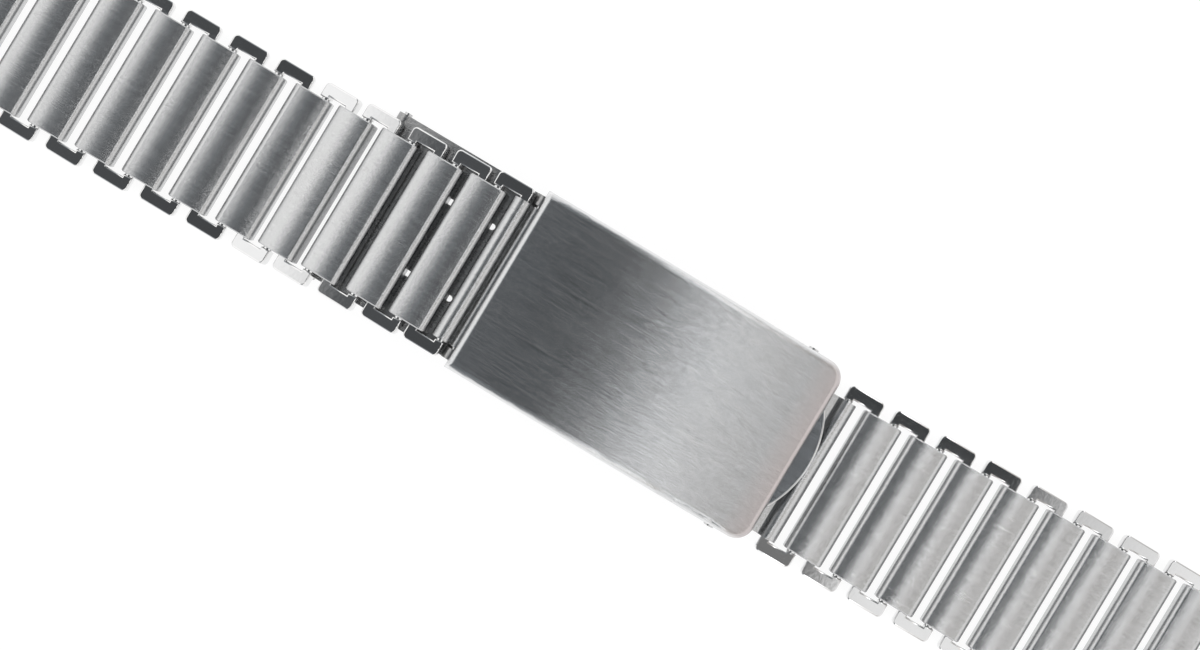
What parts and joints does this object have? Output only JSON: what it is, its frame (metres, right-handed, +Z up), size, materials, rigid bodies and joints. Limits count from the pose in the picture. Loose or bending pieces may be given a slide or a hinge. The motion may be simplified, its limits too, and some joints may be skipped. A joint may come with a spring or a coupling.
{
  "type": "link watch bracelet",
  "caption": "Straight steel link watch bracelet of domed bars on closed rings, with a folding clasp and sprung lug pins.",
  "frame": {"origin": "on the surface it lies on, under the middle of the bracelet's overall box", "axes": "+X along the bracelet from the long half to the short half, +Y across it, +Z up"},
  "size_m": [0.1458, 0.0248, 0.0068],
  "materials": {
    "bar_brushed": "steel brushed along the bracelet",
    "cover_brushed": "fine brushed steel with wear scratches",
    "blade_satin": "satin sheet steel",
    "polished_steel": "mirror polished steel",
    "spring_bar_steel": "turned bright steel",
    "spring_wire": "spring wire"
  },
  "bodies": {
    "clasp_cover": {"clasp_cover": "cover_brushed", "cover_cross_pins": "spring_bar_steel"},
    "long_blade": {"long_blade": "blade_satin", "fold_hinge_pin": "spring_bar_steel"},
    "short_blade": {"short_blade": "blade_satin", "end_link_pin": "spring_bar_steel"},
    "fold_end_link": {"fold_end_link": "bar_brushed"},
    "adjusting_end_link": {"adjusting_end_link": "bar_brushed"},
    "long_ring_01": {"long_ring_01": "polished_steel"},
    "long_bar_01": {"long_bar_01": "bar_brushed"},
    "long_ring_02": {"long_ring_02": "polished_steel"},
    "long_bar_02": {"long_bar_02": "bar_brushed"},
    "long_ring_03": {"long_ring_03": "polished_steel"},
    "long_bar_03": {"long_bar_03": "bar_brushed"},
    "long_ring_04": {"long_ring_04": "polished_steel"},
    "long_bar_04": {"long_bar_04": "bar_brushed"},
    "long_ring_05": {"long_ring_05": "polished_steel"},
    "long_bar_05": {"long_bar_05": "bar_brushed"},
    "long_ring_06": {"long_ring_06": "polished_steel"},
    "long_bar_06": {"long_bar_06": "bar_brushed"},
    "long_ring_07": {"long_ring_07": "polished_steel"},
    "long_bar_07": {"long_bar_07": "bar_brushed"},
    "long_ring_08": {"long_ring_08": "polished_steel"},
    "long_bar_08": {"long_bar_08": "bar_brushed"},
    "long_ring_09": {"long_ring_09": "polished_steel"},
    "long_bar_09": {"long_bar_09": "bar_brushed"},
    "long_ring_10": {"long_ring_10": "polished_steel"},
    "long_bar_10": {"long_bar_10": "bar_brushed"},
    "long_ring_11": {"long_ring_11": "polished_steel"},
    "long_bar_11": {"long_bar_11": "bar_brushed"},
    "long_ring_12": {"long_ring_12": "polished_steel"},
    "long_lug_end": {"long_lug_end": "bar_brushed", "long_spring_bar_tube": "spring_bar_steel", "long_coil_spring": "spring_wire"},
    "long_plunger_rear": {"long_plunger_rear": "spring_bar_steel"},
    "long_plunger_front": {"long_plunger_front": "spring_bar_steel"},
    "short_ring_01": {"short_ring_01": "polished_steel"},
    "short_bar_01": {"short_bar_01": "bar_brushed"},
    "short_ring_02": {"short_ring_02": "polished_steel"},
    "short_bar_02": {"short_bar_02": "bar_brushed"},
    "short_ring_03": {"short_ring_03": "polished_steel"},
    "short_bar_03": {"short_bar_03": "bar_brushed"},
    "short_ring_04": {"short_ring_04": "polished_steel"},
    "short_bar_04": {"short_bar_04": "bar_brushed"},
    "short_ring_05": {"short_ring_05": "polished_steel"},
    "short_bar_05": {"short_bar_05": "bar_brushed"},
    "short_ring_06": {"short_ring_06": "polished_steel"},
    "short_bar_06": {"short_bar_06": "bar_brushed"},
    "short_ring_07": {"short_ring_07": "polished_steel"},
    "short_bar_07": {"short_bar_07": "bar_brushed"},
    "short_ring_08": {"short_ring_08": "polished_steel"},
    "short_bar_08": {"short_bar_08": "bar_brushed"},
    "short_ring_09": {"short_ring_09": "polished_steel"},
    "short_bar_09": {"short_bar_09": "bar_brushed"},
    "short_ring_10": {"short_ring_10": "polished_steel"},
    "short_lug_end": {"short_lug_end": "bar_brushed", "short_spring_bar_tube": "spring_bar_steel", "short_coil_spring": "spring_wire"},
    "short_plunger_rear": {"short_plunger_rear": "spring_bar_steel"},
    "short_plunger_front": {"short_plunger_front": "spring_bar_steel"}
  },
  "joints": [
    {"name": "cover_hinge", "type": "hinge", "parent": "clasp_cover", "child": "long_blade", "pos_m": [0.00847, 0.00085, 0.00295], "axis": [0, 1, 0], "range_deg": [-120, 0]},
    {"name": "fold_hinge", "type": "hinge", "parent": "long_blade", "child": "short_blade", "pos_m": [-0.02663, 0.00085, 0.00085], "axis": [0, 1, 0], "range_deg": [-150, 0]},
    {"name": "end_link_hinge", "type": "hinge", "parent": "short_blade", "child": "fold_end_link", "pos_m": [-0.01153, 0.00085, 0.00434], "axis": [0, 1, 0], "range_deg": [0, 30]},
    {"name": "adjusting_link_hinge", "type": "hinge", "parent": "clasp_cover", "child": "adjusting_end_link", "pos_m": [0.01693, 0.00041, 0.00165], "axis": [0, 1, 0], "range_deg": [0, 45]},
    {"name": "long_turn_01", "type": "hinge", "parent": "fold_end_link", "child": "long_ring_01", "pos_m": [-0.01308, 0.00071, 0.00481], "axis": [0, -1, 0], "range_deg": [-5, 0]},
    {"name": "long_turn_02", "type": "hinge", "parent": "long_ring_01", "child": "long_bar_01", "pos_m": [-0.01577, 0.00071, 0.00452], "axis": [0, -1, 0], "range_deg": [-5, 0]},
    {"name": "long_turn_03", "type": "hinge", "parent": "long_bar_01", "child": "long_ring_02", "pos_m": [-0.01744, 0.00043, 0.00431], "axis": [0, -1, 0], "range_deg": [-5, 0]},
    {"name": "long_turn_04", "type": "hinge", "parent": "long_ring_02", "child": "long_bar_02", "pos_m": [-0.02011, 0.00043, 0.00392], "axis": [0, -1, 0], "range_deg": [-5, 0]},
    {"name": "long_turn_05", "type": "hinge", "parent": "long_bar_02", "child": "long_ring_03", "pos_m": [-0.02207, 0.00015, 0.00359], "axis": [0, -1, 0], "range_deg": [-5, 0]},
    {"name": "long_turn_06", "type": "hinge", "parent": "long_ring_03", "child": "long_bar_03", "pos_m": [-0.02472, 0.00015, 0.00309], "axis": [0, -1, 0], "range_deg": [-5, 0]},
    {"name": "long_turn_07", "type": "hinge", "parent": "long_bar_03", "child": "long_ring_04", "pos_m": [-0.02688, -0.00013, 0.00264], "axis": [0, -1, 0], "range_deg": [-5, 0]},
    {"name": "long_turn_08", "type": "hinge", "parent": "long_ring_04", "child": "long_bar_04", "pos_m": [-0.02951, -0.00013, 0.00202], "axis": [0, -1, 0], "range_deg": [-5, 9]},
    {"name": "long_turn_09", "type": "hinge", "parent": "long_bar_04", "child": "long_ring_05", "pos_m": [-0.03136, -0.00041, 0.00155], "axis": [0, -1, 0], "range_deg": [-5, 9]},
    {"name": "long_turn_10", "type": "hinge", "parent": "long_ring_05", "child": "long_bar_05", "pos_m": [-0.03397, -0.00041, 0.00085], "axis": [0, -1, 0], "range_deg": [-5, 9]},
    {"name": "long_turn_11", "type": "hinge", "parent": "long_bar_05", "child": "long_ring_06", "pos_m": [-0.03622, -0.00069, 0.00085], "axis": [0, -1, 0], "range_deg": [-5, 9]},
    {"name": "long_turn_12", "type": "hinge", "parent": "long_ring_06", "child": "long_bar_06", "pos_m": [-0.03892, -0.00069, 0.00085], "axis": [0, -1, 0], "range_deg": [-5, 9]},
    {"name": "long_turn_13", "type": "hinge", "parent": "long_bar_06", "child": "long_ring_07", "pos_m": [-0.04106, -0.00097, 0.00085], "axis": [0, -1, 0], "range_deg": [-5, 9]},
    {"name": "long_turn_14", "type": "hinge", "parent": "long_ring_07", "child": "long_bar_07", "pos_m": [-0.04376, -0.00097, 0.00085], "axis": [0, -1, 0], "range_deg": [-5, 9]},
    {"name": "long_turn_15", "type": "hinge", "parent": "long_bar_07", "child": "long_ring_08", "pos_m": [-0.04601, -0.00125, 0.00085], "axis": [0, -1, 0], "range_deg": [-5, 9]},
    {"name": "long_turn_16", "type": "hinge", "parent": "long_ring_08", "child": "long_bar_08", "pos_m": [-0.04871, -0.00125, 0.00085], "axis": [0, -1, 0], "range_deg": [-5, 9]},
    {"name": "long_turn_17", "type": "hinge", "parent": "long_bar_08", "child": "long_ring_09", "pos_m": [-0.05096, -0.00153, 0.00085], "axis": [0, -1, 0], "range_deg": [-5, 9]},
    {"name": "long_turn_18", "type": "hinge", "parent": "long_ring_09", "child": "long_bar_09", "pos_m": [-0.05366, -0.00153, 0.00085], "axis": [0, -1, 0], "range_deg": [-5, 9]},
    {"name": "long_turn_19", "type": "hinge", "parent": "long_bar_09", "child": "long_ring_10", "pos_m": [-0.05591, -0.00181, 0.00085], "axis": [0, -1, 0], "range_deg": [-5, 9]},
    {"name": "long_turn_20", "type": "hinge", "parent": "long_ring_10", "child": "long_bar_10", "pos_m": [-0.05861, -0.00181, 0.00085], "axis": [0, -1, 0], "range_deg": [-5, 9]},
    {"name": "long_turn_21", "type": "hinge", "parent": "long_bar_10", "child": "long_ring_11", "pos_m": [-0.06086, -0.00209, 0.00085], "axis": [0, -1, 0], "range_deg": [-5, 9]},
    {"name": "long_turn_22", "type": "hinge", "parent": "long_ring_11", "child": "long_bar_11", "pos_m": [-0.06356, -0.00209, 0.00085], "axis": [0, -1, 0], "range_deg": [-5, 9]},
    {"name": "long_turn_23", "type": "hinge", "parent": "long_bar_11", "child": "long_ring_12", "pos_m": [-0.06581, -0.00237, 0.00085], "axis": [0, -1, 0], "range_deg": [-5, 9]},
    {"name": "long_turn_24", "type": "hinge", "parent": "long_ring_12", "child": "long_lug_end", "pos_m": [-0.06851, -0.00237, 0.00085], "axis": [0, -1, 0], "range_deg": [-5, 9]},
    {"name": "long_plunger_rear_press", "type": "slide", "parent": "long_lug_end", "child": "long_plunger_rear", "axis": [0, 1, 0], "range_m": [0, 0.0012], "stiffness_N_per_m": 400, "springref_m": -0.001},
    {"name": "long_plunger_front_press", "type": "slide", "parent": "long_lug_end", "child": "long_plunger_front", "axis": [0, -1, 0], "range_m": [0, 0.0012], "stiffness_N_per_m": 400, "springref_m": -0.001},
    {"name": "short_turn_01", "type": "hinge", "parent": "adjusting_end_link", "child": "short_ring_01", "pos_m": [0.02217, 0.00052, 0.00085], "axis": [0, 1, 0], "range_deg": [-5, 9]},
    {"name": "short_turn_02", "type": "hinge", "parent": "short_ring_01", "child": "short_bar_01", "pos_m": [0.02487, 0.00052, 0.00085], "axis": [0, 1, 0], "range_deg": [-5, 9]},
    {"name": "short_turn_03", "type": "hinge", "parent": "short_bar_01", "child": "short_ring_02", "pos_m": [0.02702, 0.00072, 0.00085], "axis": [0, 1, 0], "range_deg": [-5, 9]},
    {"name": "short_turn_04", "type": "hinge", "parent": "short_ring_02", "child": "short_bar_02", "pos_m": [0.02972, 0.00072, 0.00085], "axis": [0, 1, 0], "range_deg": [-5, 9]},
    {"name": "short_turn_05", "type": "hinge", "parent": "short_bar_02", "child": "short_ring_03", "pos_m": [0.03186, 0.00093, 0.00085], "axis": [0, 1, 0], "range_deg": [-5, 9]},
    {"name": "short_turn_06", "type": "hinge", "parent": "short_ring_03", "child": "short_bar_03", "pos_m": [0.03456, 0.00093, 0.00085], "axis": [0, 1, 0], "range_deg": [-5, 9]},
    {"name": "short_turn_07", "type": "hinge", "parent": "short_bar_03", "child": "short_ring_04", "pos_m": [0.03671, 0.00114, 0.00085], "axis": [0, 1, 0], "range_deg": [-5, 9]},
    {"name": "short_turn_08", "type": "hinge", "parent": "short_ring_04", "child": "short_bar_04", "pos_m": [0.03941, 0.00114, 0.00085], "axis": [0, 1, 0], "range_deg": [-5, 9]},
    {"name": "short_turn_09", "type": "hinge", "parent": "short_bar_04", "child": "short_ring_05", "pos_m": [0.04156, 0.00136, 0.00085], "axis": [0, 1, 0], "range_deg": [-5, 9]},
    {"name": "short_turn_10", "type": "hinge", "parent": "short_ring_05", "child": "short_bar_05", "pos_m": [0.04426, 0.00136, 0.00085], "axis": [0, 1, 0], "range_deg": [-5, 9]},
    {"name": "short_turn_11", "type": "hinge", "parent": "short_bar_05", "child": "short_ring_06", "pos_m": [0.04641, 0.00156, 0.00085], "axis": [0, 1, 0], "range_deg": [-5, 9]},
    {"name": "short_turn_12", "type": "hinge", "parent": "short_ring_06", "child": "short_bar_06", "pos_m": [0.04911, 0.00156, 0.00085], "axis": [0, 1, 0], "range_deg": [-5, 9]},
    {"name": "short_turn_13", "type": "hinge", "parent": "short_bar_06", "child": "short_ring_07", "pos_m": [0.05126, 0.00178, 0.00085], "axis": [0, 1, 0], "range_deg": [-5, 9]},
    {"name": "short_turn_14", "type": "hinge", "parent": "short_ring_07", "child": "short_bar_07", "pos_m": [0.05396, 0.00178, 0.00085], "axis": [0, 1, 0], "range_deg": [-5, 9]},
    {"name": "short_turn_15", "type": "hinge", "parent": "short_bar_07", "child": "short_ring_08", "pos_m": [0.05611, 0.00198, 0.00085], "axis": [0, 1, 0], "range_deg": [-5, 9]},
    {"name": "short_turn_16", "type": "hinge", "parent": "short_ring_08", "child": "short_bar_08", "pos_m": [0.05881, 0.00198, 0.00085], "axis": [0, 1, 0], "range_deg": [-5, 9]},
    {"name": "short_turn_17", "type": "hinge", "parent": "short_bar_08", "child": "short_ring_09", "pos_m": [0.06096, 0.00219, 0.00085], "axis": [0, 1, 0], "range_deg": [-5, 9]},
    {"name": "short_turn_18", "type": "hinge", "parent": "short_ring_09", "child": "short_bar_09", "pos_m": [0.06366, 0.00219, 0.00085], "axis": [0, 1, 0], "range_deg": [-5, 9]},
    {"name": "short_turn_19", "type": "hinge", "parent": "short_bar_09", "child": "short_ring_10", "pos_m": [0.06581, 0.00241, 0.00085], "axis": [0, 1, 0], "range_deg": [-5, 9]},
    {"name": "short_turn_20", "type": "hinge", "parent": "short_ring_10", "child": "short_lug_end", "pos_m": [0.06851, 0.00241, 0.00085], "axis": [0, 1, 0], "range_deg": [-5, 9]},
    {"name": "short_plunger_rear_press", "type": "slide", "parent": "short_lug_end", "child": "short_plunger_rear", "axis": [0, 1, 0], "range_m": [0, 0.0012], "stiffness_N_per_m": 400, "springref_m": -0.001},
    {"name": "short_plunger_front_press", "type": "slide", "parent": "short_lug_end", "child": "short_plunger_front", "axis": [0, -1, 0], "range_m": [0, 0.0012], "stiffness_N_per_m": 400, "springref_m": -0.001}
  ]
}
